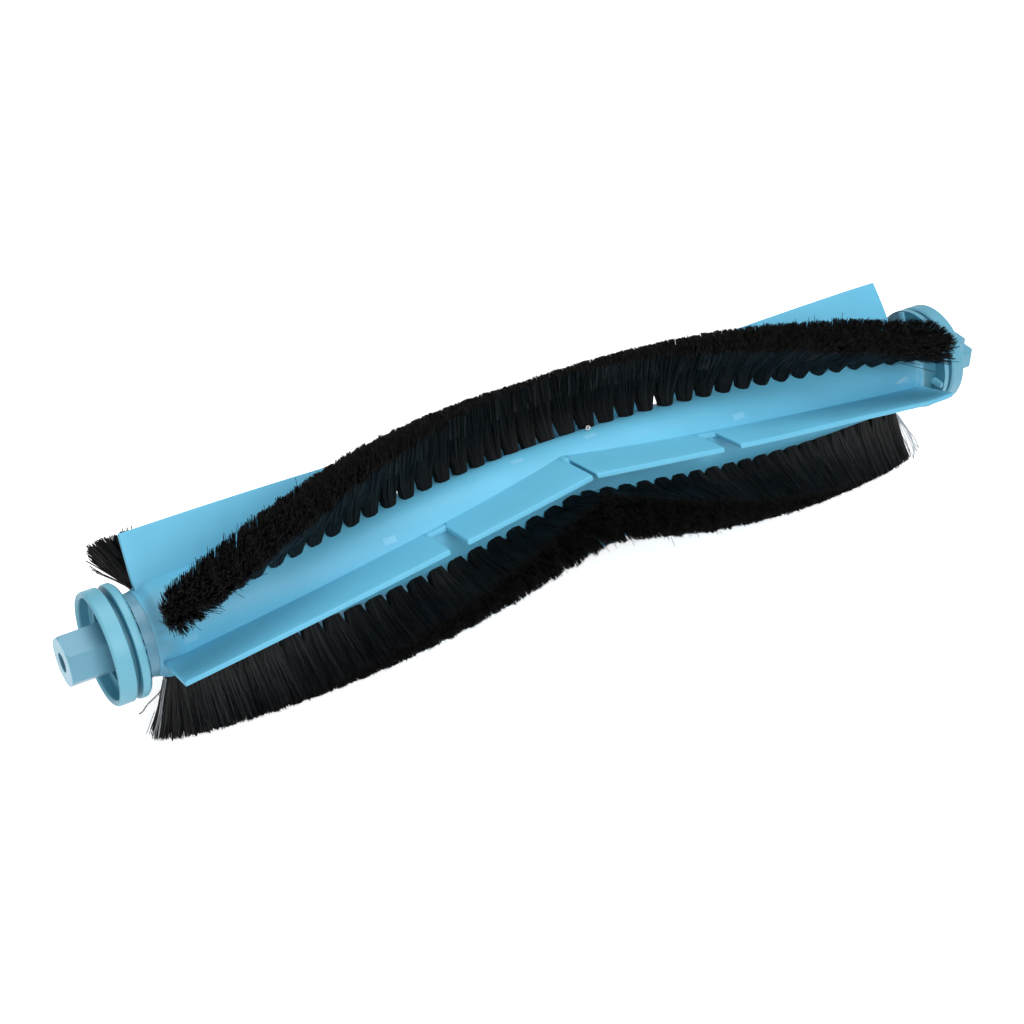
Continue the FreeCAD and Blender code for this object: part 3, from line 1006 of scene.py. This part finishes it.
@dataclass
class BristleRow:
    """One swept row of tufts: separate filaments round and over a dark bundle.

    The filaments of a tuft start from a disc and end on a rectangle. A filament is named by a pair of numbers from
    -1 to 1, its place in that rectangle along the axis and across the row.
    """

    plan: Plan
    index: int
    look: RowLook

    # Places of the tufts, with angles in degrees.
    end_angle: float = 136.0
    sweep: float = 92.0
    blade_inset: float = 0.6
    row_margin: float = 1.5
    pitch: float = 3.94

    # Form of a tuft. A value in tufts is the number of them over which something fades.
    root_depth: float = 0.6
    root_growth: float = 1.9
    square_start: float = 0.3
    square_rise: float = 0.4
    tip_half_length: float = 2.3
    end_round: float = 0.97
    edge_fall: float = 0.8
    end_merge: float = 0.30
    merge_tufts: float = 5.0
    middle_fill: float = 1.3
    fill_tufts: float = 1.5
    middle_close: float = 0.8
    shift_growth: float = 1.3
    splay_tufts: float = 1.1
    splay_base: float = 0.55
    splay_spread: float = 0.45
    splay_fall: float = 0.12
    splay_growth: float = 1.5
    bundle_scale: float = 0.86
    bundle_sides: int = 5
    bundle_heights: tuple[float, ...] = (0.0, 0.17, 0.34, 0.68)

    # Filaments: those on the outside, the tips inside, and how far both stray.
    strand_radius: float = 0.068
    outer_strands: int = 230
    outer_heights: tuple[float, ...] = (0.0, 0.34, 1.0)
    side_share: float = 0.68
    rim: Point = (0.84, 1.06)
    tip_strands: int = 620
    tip_heights: tuple[float, ...] = (0.66, 1.0)
    tip_drop: float = 0.08
    tip_spread: float = 0.12
    tip_looseness: float = 0.14
    tuft_lean: Point = (0.08, 0.14)
    stray_share: float = 0.06
    stray_shift: float = 0.7
    wild_share: float = 0.012
    wild_shift: float = 1.2
    end_looseness: float = 2.2
    end_shortness: float = 0.25

    # Clumps of tips, and shades, with the painted sheen of the side filaments.
    clumps: int = 80
    clump_pull: float = 0.3
    end_clump_pull: float = 0.5
    clump_rise: float = 0.09
    painted_sheen_tufts: float = 6.0
    tip_shade_spread: float = 0.6

    def tufts(self, half: Half) -> list[Tuft]:
        """Return the tufts of one half of the row, from the middle out.

        Args:
            half: The half.

        Returns:
            Its tufts.
        """
        plan = self.plan
        count = int((plan.middle - plan.sleeve_start - self.row_margin) / self.pitch)
        found = []
        for step in range(count):
            distance = (step + 0.5) * self.pitch
            angle = self.end_angle - self.sweep * (1 - distance / self.reach) + plan.turns[self.index]
            found.append(Tuft(plan.middle + half.value * distance, angle, half, count - 1 - step, step))
        return found

    @property
    def reach(self) -> float:
        """Distance from the middle to the end of a blade, over which the row sweeps."""
        return self.plan.middle - self.plan.sleeve_start - self.blade_inset

    def place(
        self, tuft: Tuft, square: np.ndarray, heights: Sequence[float], tip_shift: np.ndarray, reach: np.ndarray
    ) -> np.ndarray:
        """Return the points of filaments: filament, height, coordinate.

        Args:
            tuft: The tuft.
            square: Pair of numbers of each filament.
            heights: Heights of the points, from 0 at the root to 1 at the tip.
            tip_shift: How far each tip is off its place in the rectangle.
            reach: Distance of each tip from the axis.

        Returns:
            Points in millimetres.
        """
        outward = tuft.half.value
        root = self.look.root_radius
        disc = square * np.sqrt(1 - square[:, ::-1] ** 2 / 2)
        width = np.full(len(square), self.look.half_width[tuft.half])
        if tuft.from_end == 0:
            width *= np.sqrt(1 - np.clip(square[:, 0] * outward, 0, self.end_round) ** 2)
        tip_size = np.column_stack([np.full(len(square), self.tip_half_length), width])
        shift = tip_shift + (0.0, self.look.lean[tuft.half])
        fill = self.middle_fill * math.exp(-tuft.from_middle / self.fill_tufts)
        shift[:, 1] += fill * np.clip(square[:, 1], 0, 1)
        if tuft.from_middle == 0:
            shift[:, 0] -= outward * self.middle_close
        merge = self.look.merge - self.end_merge * math.exp(-tuft.from_end / self.merge_tufts)
        splay = self.look.splay[tuft.half] * math.exp(-tuft.from_end / self.splay_tufts)
        splay = splay * (self.splay_base + self.splay_spread * square[:, 0] * outward)
        slope = outward * math.radians(self.sweep) / self.reach
        low = self.plan.sleeve_radius - self.root_depth
        tip_radius = reach - self.edge_fall * square[:, 1] ** 2 - self.splay_fall * splay
        top = np.sqrt(np.maximum(tip_radius**2 - (square[:, 1] * width + shift[:, 1]) ** 2, 1.0))
        direction = np.array([math.cos(math.radians(tuft.angle)), math.sin(math.radians(tuft.angle))])
        across = np.array([-direction[1], direction[0]])
        lines = []
        for share in heights:
            grown = np.array([min(share / merge, 1.0), share**self.root_growth])
            rise = (share - self.square_start) / self.square_rise
            squareness = min(max(rise, self.look.root_square[tuft.half]), 1.0)
            offset = (disc + (square - disc) * squareness) * (root + (tip_size - root) * grown)
            offset += shift * share**self.shift_growth
            height = low + (top - low) * share
            offset[:, 1] += slope * height * offset[:, 0]
            offset[:, 0] += splay * outward * share**self.splay_growth
            ring = height[:, None] * direction + offset[:, 1:2] * across
            lines.append(np.column_stack([tuft.along + offset[:, 0], ring]))
        return np.stack(lines, 1)

    def clump(self, tuft: Tuft, square: np.ndarray) -> tuple[np.ndarray, np.ndarray]:
        """Return how the filaments of a tuft stick together at their tips.

        Args:
            tuft: The tuft.
            square: Pair of numbers of each filament.

        Returns:
            The shift of each tip towards its clump, and the rise of that clump over the others.
        """
        rng = np.random.default_rng([SEED, self.index, tuft.half.value + 1, tuft.from_end])
        centres = rng.uniform(-1, 1, (self.clumps, 2))
        rise = rng.normal(0, self.clump_rise, self.clumps)
        nearest = np.argmin(((square[:, None] - centres) ** 2).sum(2), 1)
        pull = self.clump_pull if tuft.from_end else self.end_clump_pull
        size = (self.tip_half_length, self.look.half_width[tuft.half])
        return (centres[nearest] - square) * size * pull, rise[nearest]

    def strands(self, rng: np.random.Generator, tuft: Tuft, outer: bool) -> np.ndarray:
        """Return the filaments on the outside of a tuft, or the tips of those inside it.

        Args:
            rng: Source of random numbers.
            tuft: The tuft.
            outer: Whether the filaments on the outside are meant.

        Returns:
            Points in millimetres: filament, height, coordinate.
        """
        count = self.outer_strands if outer else self.tip_strands
        square = rng.uniform(-1, 1, (count, 2))
        if outer:
            lengthwise = rng.random(count) < self.side_share
            rim = rng.choice([-1.0, 1.0], count) * rng.uniform(*self.rim, count)
            square[lengthwise, 1] = rim[lengthwise]
            square[~lengthwise, 0] = rim[~lengthwise]
        loose = self.end_looseness if tuft.from_end == 0 else 1.0
        lean = rng.normal(0, 1, 2) * self.tuft_lean
        chance = rng.random((count, 1))
        stray = np.where(chance < self.stray_share, self.stray_shift, self.tip_looseness * loose)
        stray = np.where(chance < self.wild_share, self.wild_shift, stray)
        pull, rise = self.clump(tuft, square)
        tip_shift = rng.normal(0, 1, (count, 2)) * stray + lean + pull
        shorter = np.abs(rng.normal(0, self.end_shortness, count)) * (loose - 1)
        reach = self.plan.bristle_radius - self.tip_drop + rng.normal(0, self.tip_spread, count) - shorter + rise
        heights = self.outer_heights if outer else self.tip_heights
        return self.place(tuft, square, heights, tip_shift, reach)

    def painted_sheen(self, tuft: Tuft) -> float:
        """Return the painted sheen of a tuft: the shade of its lightest side filaments."""
        fade = math.exp(-tuft.from_end / self.painted_sheen_tufts)
        return self.look.painted_sheen + (self.look.end_painted_sheen - self.look.painted_sheen) * fade

    def bundle(self, tuft: Tuft) -> tuple[np.ndarray, list[np.ndarray]]:
        """Return the dark inside of a tuft, which fills the space behind its filaments.

        Args:
            tuft: The tuft.

        Returns:
            Points and faces.
        """
        edge = np.linspace(-1, 1, self.bundle_sides, endpoint=False)
        ones = np.ones(self.bundle_sides)
        rim = [np.column_stack(pair) for pair in ((edge, -ones), (ones, edge), (-edge, ones), (-ones, -edge))]
        square = np.concatenate(rim) * self.bundle_scale
        reach = np.full(len(square), self.plan.bristle_radius)
        lines = self.place(tuft, square, self.bundle_heights, np.zeros((len(square), 2)), reach)
        rings = lines.transpose(1, 0, 2)
        count, width, _ = rings.shape
        top = np.arange(width)[None] + (count - 1) * width
        return rings.reshape(-1, 3), [grid_faces(count, width, True), top]

    def build(self) -> list[bpy.types.Object]:
        """Return the row as two pieces, one for each half.

        Returns:
            The pieces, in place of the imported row.
        """
        pieces = []
        for half in Half:
            rng = np.random.default_rng([SEED, self.index, half.value + 1])
            tufts = self.tufts(half)
            parts = [self.bundle(tuft) for tuft in tufts]
            shades = [np.zeros(sum(len(points) for points, _ in parts))]
            for outer in (True, False):
                lines = np.concatenate([self.strands(rng, tuft, outer) for tuft in tufts])
                parts.append(strand_part(lines, self.strand_radius, rng))
                shade = rng.random(len(lines))
                if outer:
                    # Painted sheen: side filaments as light as the row's painted sheen, which in the second row is
                    # higher at its ends than at its middle.
                    shade *= np.repeat([self.painted_sheen(tuft) for tuft in tufts], self.outer_strands)
                else:
                    # Tips lighter than the sides, at a level for each row that is partly painted light.
                    shade = self.look.tip_shade + self.tip_shade_spread * shade
                shades.append(np.repeat(shade, len(parts[-1][0]) // len(lines)))
            name = f"bristles_{self.index + 1}_{half.name.lower()}"
            piece = make_mesh(name, *join_parts(parts))
            shade_strands(piece, shades)
            pieces.append(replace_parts(piece, f"bristle_row_{self.index + 1}"))
        return pieces


def strand_part(
    lines: np.ndarray,
    radius: float,
    rng: np.random.Generator,
    sides: int = 3,
    taper: float = 0.8,
    steep: float = 0.9,
) -> tuple[np.ndarray, list[np.ndarray]]:
    """Return the points and faces of thin tubes along lines of points.

    Args:
        lines: Points in millimetres: strand, step along it, coordinate.
        radius: Radius of a strand at its root.
        rng: Source of random numbers.
        sides: Sides of a strand.
        taper: Share of the radius left at the tip.
        steep: Share of its run along the axis from which a strand is spanned by another direction.

    Returns:
        Points and faces, strand by strand.
    """
    count, steps, _ = lines.shape
    run = lines[:, -1] - lines[:, 0]
    run /= np.linalg.norm(run, axis=1, keepdims=True)
    helper = np.where(np.abs(run[:, :1]) < steep, [[1.0, 0.0, 0.0]], [[0.0, 1.0, 0.0]])
    first = np.cross(run, helper)
    first /= np.linalg.norm(first, axis=1, keepdims=True)
    second = np.cross(run, first)
    turn = rng.uniform(0, 2 * math.pi, (count, 1)) + np.arange(sides) * 2 * math.pi / sides
    ring = np.cos(turn)[:, :, None] * first[:, None] + np.sin(turn)[:, :, None] * second[:, None]
    widths = radius * np.linspace(1.0, taper, steps)
    points = lines[:, :, None] + ring[:, None] * widths[None, :, None, None]
    base = (np.arange(count) * steps * sides)[:, None, None]
    quads = (grid_faces(steps, sides, True)[None] + base).reshape(-1, 4)
    tips = (np.arange(sides) + (steps - 1) * sides)[None] + base[:, :, 0]
    return points.reshape(-1, 3), [quads, tips]


@dataclass(frozen=True)
class Fibre:
    """A stray fibre: its finish, its radius and the points that it passes, in millimetres."""

    finish: FilamentFinish
    radius: float
    points: tuple[tuple[float, float, float], ...]


@dataclass
class StrayFibres:
    """Stray bits on the roller: grey, clear and black filaments at its ends, a white curl and a scratch."""

    fibres: tuple[Fibre, ...]
    smooth_steps: int = 6
    sides: int = 6
    steep: float = 0.8

    def smooth(self, points: np.ndarray) -> np.ndarray:
        """Return a smooth line through points, as a Catmull-Rom curve.

        Args:
            points: Points to pass, one row each.

        Returns:
            Points along the curve.
        """
        padded = np.concatenate([2 * points[:1] - points[1:2], points, 2 * points[-1:] - points[-2:-1]])
        line = []
        for before, start, end, after in zip(padded, padded[1:], padded[2:], padded[3:]):
            for step in range(self.smooth_steps):
                t = step / self.smooth_steps
                bend = 2 * before - 5 * start + 4 * end - after
                twist = 3 * start - before - 3 * end + after
                line.append(0.5 * (2 * start + (end - before) * t + bend * t**2 + twist * t**3))
        return np.array(line + [points[-1]])

    def build(self) -> None:
        """Make one piece for each finish."""
        rng = np.random.default_rng(SEED)
        by_finish: dict[FilamentFinish, list[Fibre]] = {}
        for fibre in self.fibres:
            by_finish.setdefault(fibre.finish, []).append(fibre)
        for finish, fibres in by_finish.items():
            parts, shades = [], []
            for fibre in fibres:
                points, faces = self.tube(self.smooth(np.array(fibre.points)), fibre.radius)
                parts.append((points, faces))
                shades.append(np.full(len(points), rng.random()))
            piece = make_mesh(f"stray_{finish.name}", *join_parts(parts))
            shade_strands(piece, shades)
            finish_piece(piece, finish.build())

    def tube(self, line: np.ndarray, radius: float) -> tuple[np.ndarray, list[np.ndarray]]:
        """Return a round tube along a bent line.

        Args:
            line: Points along it, in millimetres.
            radius: Radius of the tube.

        Returns:
            Points and faces.
        """
        run = np.gradient(line, axis=0)
        run /= np.linalg.norm(run, axis=1, keepdims=True)
        side = np.cross(run, np.where(np.abs(run[:, :1]) < self.steep, [[1.0, 0.0, 0.0]], [[0.0, 0.0, 1.0]]))
        side /= np.linalg.norm(side, axis=1, keepdims=True)
        other = np.cross(run, side)
        turn = np.arange(self.sides) * 2 * math.pi / self.sides
        ring = np.cos(turn)[None, :, None] * side[:, None] + np.sin(turn)[None, :, None] * other[:, None]
        points = (line[:, None] + radius * ring).reshape(-1, 3)
        ends = np.array([np.arange(self.sides)[::-1], np.arange(self.sides) + (len(line) - 1) * self.sides])
        return points, [grid_faces(len(line), self.sides, True), ends]


STRAY_FIBRES = (
    Fibre(HAZY_FINISH, 0.10, ((9.3, -4.8, -6.4), (7.7, -6.4, -9.4), (6.0, -8.0, -12.3), (4.3, -9.1, -14.7))),
    Fibre(GREY_FINISH, 0.08, ((9.3, -5.0, -6.6), (7.7, -6.6, -9.6), (6.1, -8.2, -12.4), (4.7, -9.3, -14.7))),
    Fibre(HAZY_FINISH, 0.10, ((9.4, -5.1, -6.7), (7.7, -6.8, -9.8), (6.3, -8.4, -12.6), (5.1, -9.6, -14.8))),
    Fibre(CLEAR_FINISH, 0.14, (
        (169.2, -2.1, -10.7), (169.7, -3.9, -12.3), (170.2, -5.9, -14.2), (169.9, -7.7, -16.5), (169.2, -8.4, -17.8),
    )),
    Fibre(CLEAR_FINISH, 0.14, ((169.3, -2.3, -10.9), (169.8, -4.5, -13.0), (170.1, -6.5, -15.1), (170.3, -8.1, -16.7))),
    Fibre(GREY_FINISH, 0.11, (
        (8.9, -4.9, -6.8), (8.3, -5.5, -7.9), (7.6, -5.7, -8.6), (6.5, -5.7, -9.4), (5.3, -5.7, -10.2),
        (4.4, -5.9, -11.0), (3.7, -5.8, -11.4),
    )),
    Fibre(GREY_FINISH, 0.09, (
        (7.4, -5.7, -8.7), (7.7, -6.2, -9.1), (7.5, -6.8, -9.9), (7.1, -7.6, -11.1), (6.3, -8.3, -12.4),
    )),
    Fibre(HAZY_FINISH, 0.08, (
        (9.1, -4.8, -6.6), (8.4, -5.8, -8.2), (7.6, -6.7, -9.8), (6.7, -7.8, -11.6), (5.4, -8.7, -13.5),
    )),
    Fibre(HAZY_FINISH, 0.08, ((9.2, -5.1, -6.8), (8.3, -6.2, -8.7), (7.2, -7.0, -10.3), (6.4, -7.7, -11.6))),
    Fibre(CLEAR_FINISH, 0.09, (
        (169.0, -1.9, -10.5), (169.6, -3.4, -11.8), (170.2, -5.2, -13.4), (170.7, -6.6, -14.7), (170.8, -8.1, -16.3),
    )),
    Fibre(CLEAR_FINISH, 0.09, (
        (168.9, -2.1, -10.8), (169.2, -3.6, -12.3), (169.6, -5.4, -14.1), (169.8, -7.0, -15.9), (169.7, -8.0, -17.0),
    )),
    Fibre(CLEAR_FINISH, 0.08, (
        (169.0, -2.3, -11.0), (169.0, -3.9, -12.8), (169.1, -5.7, -14.7), (169.0, -7.0, -16.3), (168.9, -8.1, -17.6),
    )),
    Fibre(CLEAR_FINISH, 0.08, (
        (169.0, -2.0, -10.7), (169.5, -3.9, -12.5), (170.2, -5.6, -13.9), (170.2, -6.7, -15.2), (170.7, -7.8, -16.0),
    )),
    Fibre(WHITE_FINISH, 0.2, (
        (97.1, 2.4, 8.4), (97.7, 3.3, 8.1), (98.4, 4.0, 7.7), (98.1, 2.9, 8.2), (97.5, 2.2, 8.4),
    )),
    Fibre(LOOSE_FINISH, 0.11, ((9.8, 9.1, 2.8), (7.8, 13.7, 3.6), (5.8, 18.4, 3.9))),
    Fibre(LOOSE_FINISH, 0.09, ((9.8, 9.1, 2.8), (7.9, 13.4, 2.8), (6.0, 17.7, 3.2))),
    Fibre(LOOSE_FINISH, 0.11, ((9.8, 9.1, 2.8), (8.0, 13.1, 3.0), (6.2, 17.1, 2.7))),
    Fibre(LOOSE_FINISH, 0.09, ((9.8, 9.1, 2.8), (8.1, 13.9, 3.8), (6.3, 18.7, 4.6))),
    Fibre(LOOSE_FINISH, 0.09, ((9.8, 9.1, 2.8), (8.2, 12.8, 2.7), (6.6, 16.5, 2.3))),
    Fibre(LOOSE_FINISH, 0.09, ((12.5, 16.7, 6.5), (12.7, 17.4, 7.5), (12.8, 18.2, 8.4))),
    Fibre(LOOSE_FINISH, 0.09, ((13.3, 16.3, 6.6), (13.5, 17.1, 7.6), (13.6, 17.8, 8.5))),
    Fibre(LOOSE_FINISH, 0.09, ((14.0, 16.1, 6.9), (14.1, 16.9, 7.9), (14.3, 17.6, 8.8))),
    Fibre(LOOSE_FINISH, 0.09, ((14.6, 15.5, 6.6), (14.8, 16.3, 7.6), (14.9, 17.0, 8.5))),
    Fibre(WHITE_FINISH, 0.05, ((162.2, -8.05, 2.3), (162.8, -8.02, 2.5), (163.6, -7.98, 2.6), (164.4, -7.9, 2.8))),
)


@dataclass
class EndPieces:
    """The hard pieces that stay as packed: their edges are softened and they get moulded finishes."""

    nodes: dict[str, bpy.types.Object]
    edge: float = 0.22
    spindle_edge: float = 0.18
    edge_steps: int = 3
    edge_angle: float = 28.0
    weld: float = 0.001

    def soften(self, name: str, width: float) -> None:
        """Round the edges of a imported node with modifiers, which leave its mesh alone.

        Args:
            name: Name of the node.
            width: Width of a rounded edge, in millimetres.
        """
        node = self.nodes[name]
        weld = node.modifiers.new("join_corners", "WELD")
        weld.merge_threshold = self.weld * MM
        bevel = node.modifiers.new("soft_edges", "BEVEL")
        bevel.width = width * MM
        bevel.segments = self.edge_steps
        bevel.limit_method = "ANGLE"
        bevel.angle_limit = math.radians(self.edge_angle)
        bevel.miter_outer = "MITER_ARC"
        normals = node.modifiers.new("even_shading", "WEIGHTED_NORMAL")
        normals.keep_sharp = False

    def build(self) -> None:
        """Finish every hard node."""
        for name, finish, width in (
            ("spindle_core", SPINDLE_FINISH, self.spindle_edge),
            ("drive_end_cup", CUP_FINISH, self.edge),
            ("idler_end_cap", CAP_FINISH, self.edge),
        ):
            self.soften(name, width)
            node = self.nodes[name]
            node.data.materials.clear()
            node.data.materials.append(finish.build())


@dataclass(frozen=True)
class Lamp:
    """A square soft light: its place from the middle of the roller, its size in millimetres and its power."""

    name: str
    place: tuple[float, float, float]
    size: float
    power: float


LAMPS = (
    Lamp("overhead", place=(50, 70, 520), size=420, power=1.75),
    Lamp("front_fill", place=(-20, -440, 340), size=320, power=1.65),
    Lamp("drive_side_fill", place=(-480, -100, 120), size=260, power=0.35),
)


@dataclass
class Studio:
    """Floor, light and camera."""

    floor_height: float
    centre: Vector
    lens: float = 69.91
    sensor: float = 36.0
    clip: Point = (0.01, 10.0)
    camera_place: tuple[float, float, float] = (-68.455, -247.974, 215.624)
    camera_azimuth: float = 30.864
    camera_elevation: float = 37.029
    floor_half: float = 3000.0
    floor_patch: float = 60.0
    floor_tones: Point = (0.90, 0.93)
    floor_roughness: float = 0.9
    floor_glow: float = 0.75
    tent_strength: float = 0.25

    def aim(self, made: bpy.types.Object, place: Vector, direction: Vector) -> None:
        """Put a camera or light at a place in millimetres and point it in a direction.

        Args:
            made: The camera or light.
            place: Where it stands.
            direction: Where it points.
        """
        made.location = place * MM
        made.rotation_mode = "QUATERNION"
        made.rotation_quaternion = direction.to_track_quat("-Z", "Y")

    def camera(self) -> None:
        """Place the camera at the photograph's viewing angle."""
        data = bpy.data.cameras.new("photo_camera")
        data.lens = self.lens
        data.sensor_width = self.sensor
        data.clip_start, data.clip_end = self.clip
        azimuth = math.radians(self.camera_azimuth)
        elevation = math.radians(self.camera_elevation)
        forward = Vector(
            (
                math.sin(azimuth) * math.cos(elevation),
                math.cos(azimuth) * math.cos(elevation),
                -math.sin(elevation),
            )
        )
        made = add_object("photo_camera", data)
        self.aim(made, Vector(self.camera_place), forward)
        bpy.context.scene.camera = made

    def floor(self) -> None:
        """Lay a pale floor under the roller, which looks white without lighting the roller."""
        half = self.floor_half
        corners = [(-half, -half), (half, -half), (half, half), (-half, half)]
        points = np.array([(x, y, self.floor_height) for x, y in corners])
        mesh = bpy.data.meshes.new("floor")
        mesh.from_pydata((points * MM).tolist(), [], [(0, 1, 2, 3)])
        made = add_object("floor", mesh)
        material, graph = new_material("pale_floor")
        dark, light = ((tone, tone, tone) for tone in self.floor_tones)
        seen = graph.node("ShaderNodeLightPath", output="Is Camera Ray")
        for ray in ("Is Glossy Ray", "Is Transmission Ray"):
            seen = seen + graph.node("ShaderNodeLightPath", output=ray)
        shader = graph.node(
            "ShaderNodeBsdfPrincipled",
            {},
            {
                "Base Color": graph.mix(graph.noise(self.floor_patch, detail=2.0), dark, light),
                "Roughness": self.floor_roughness,
                "Emission Color": graph.mix(seen, (0.0, 0.0, 0.0), (1.0, 1.0, 1.0)),
                "Emission Strength": self.floor_glow,
            },
        )
        graph.node("ShaderNodeOutputMaterial", {}, {"Surface": shader})
        mesh.materials.append(material)
        made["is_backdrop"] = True

    def area(self, lamp: Lamp) -> None:
        """Add a lamp that points at the roller.

        Args:
            lamp: The lamp.
        """
        data = bpy.data.lights.new(lamp.name, "AREA")
        data.shape = "SQUARE"
        data.size = lamp.size * MM
        data.energy = lamp.power
        place = self.centre + Vector(lamp.place)
        self.aim(add_object(lamp.name, data), place, self.centre - place)

    def lights(self) -> None:
        """Light the roller like a product in a white tent."""
        world = bpy.data.worlds.new("tent")
        world.use_nodes = True
        graph = Graph(world.node_tree)
        tent = {"Color": (1.0, 1.0, 1.0, 1.0), "Strength": self.tent_strength}
        shader = graph.node("ShaderNodeBackground", {}, tent)
        graph.node("ShaderNodeOutputWorld", {}, {"Surface": shader})
        bpy.context.scene.world = world
        for lamp in LAMPS:
            self.area(lamp)

    def build(self) -> None:
        """Set up the whole studio."""
        self.camera()
        self.floor()
        self.lights()
        bpy.context.scene.view_settings.view_transform = "Standard"


def main() -> None:
    """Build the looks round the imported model."""
    logging.basicConfig(level=logging.INFO)
    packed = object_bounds()
    plan = Plan.from_frame()
    EndPieces(frame["nodes"]).build()
    finish_piece(Sleeve(plan).build(), SLEEVE_FINISH.build())
    nylon = BRISTLE_FINISH.build()
    for index, look in enumerate(ROW_LOOKS):
        for piece in BristleRow(plan, index, look).build():
            finish_piece(piece, nylon)
    StrayFibres(STRAY_FIBRES).build()
    low, high = packed
    centre = (low + high) / (2 * MM)
    Studio(low.z / MM, centre).build()
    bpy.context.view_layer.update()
    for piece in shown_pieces():
        LOG.info("%s: %d faces", piece.name, len(piece.data.polygons))


if __name__ == "__main__":
    main()
